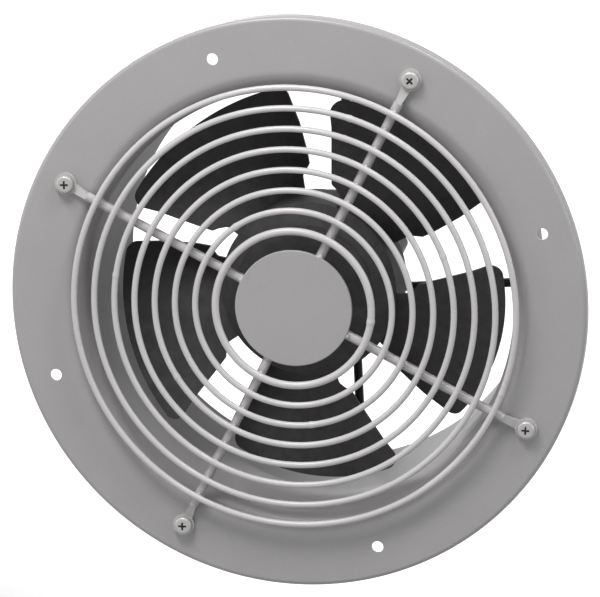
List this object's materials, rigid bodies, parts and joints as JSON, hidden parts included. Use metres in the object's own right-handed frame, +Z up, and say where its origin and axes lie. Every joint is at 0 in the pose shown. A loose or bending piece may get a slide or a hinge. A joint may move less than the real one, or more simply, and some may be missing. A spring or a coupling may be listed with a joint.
{
  "type": "axial wall fan",
  "caption": "Round wall fan with a painted flange and inlet bell, a wire ring guard, a black twisted-blade impeller and a rear motor on arms.",
  "frame": {"origin": "centre of the bolt circle on the flange's back face", "axes": "+Y along the fan axis with the air flow, from the guard to the motor; +Z up; +X right seen from the front"},
  "size_m": [0.3699, 0.1853, 0.37],
  "materials": {
    "grey_paint": "satin",
    "zinc_steel": "satin",
    "impeller_plastic": "matte",
    "black_paint": "satin",
    "motor_paint": "satin",
    "box_plastic": "matte",
    "capacitor_can": "satin",
    "copper_wire": "satin",
    "bright_steel": "satin"
  },
  "bodies": {
    "housing": {"air_tube": "grey_paint", "bearing_preload_washer": "bright_steel", "box_screws": "zinc_steel", "cable_gland_body": "box_plastic", "cable_gland_locknut": "box_plastic", "cable_gland_nut": "box_plastic", "front_bearing_balls": "bright_steel", "front_bearing_outer_ring": "bright_steel", "guard_disc": "grey_paint", "guard_nuts": "zinc_steel", "guard_ring_1": "grey_paint", "guard_ring_2": "grey_paint", "guard_ring_3": "grey_paint", "guard_ring_4": "grey_paint", "guard_ring_5": "grey_paint", "guard_ring_6": "grey_paint", "guard_ring_7": "grey_paint", "guard_ring_8": "grey_paint", "guard_screws": "zinc_steel", "guard_spoke_1": "grey_paint", "guard_spoke_2": "grey_paint", "guard_spoke_3": "grey_paint", "guard_spoke_4": "grey_paint", "lid_screws": "zinc_steel", "motor_arm_1": "black_paint", "motor_arm_2": "black_paint", "motor_arm_3": "black_paint", "motor_arm_4": "black_paint", "motor_carrier": "black_paint", "motor_front_shield": "motor_paint", "motor_housing": "motor_paint", "motor_nuts": "zinc_steel", "motor_through_bolts": "zinc_steel", "rear_bearing_balls": "bright_steel", "rear_bearing_outer_ring": "bright_steel", "run_capacitor": "capacitor_can", "stator_core": "bright_steel", "stator_winding": "copper_wire", "terminal_block": "box_plastic", "terminal_box": "box_plastic", "terminal_box_lid": "box_plastic", "wall_flange": "grey_paint"},
    "rotor": {"impeller": "impeller_plastic", "hub_bush": "bright_steel", "drive_pin": "bright_steel", "impeller_washer": "zinc_steel", "impeller_nut": "zinc_steel", "motor_shaft": "bright_steel", "rotor_core": "bright_steel", "front_bearing_inner_ring": "bright_steel", "rear_bearing_inner_ring": "bright_steel"}
  },
  "joints": [
    {"name": "impeller_spin", "type": "hinge", "parent": "housing", "child": "rotor", "pos_m": [0, 0.0555, 0], "axis": [0, -1, 0], "continuous": true}
  ]
}
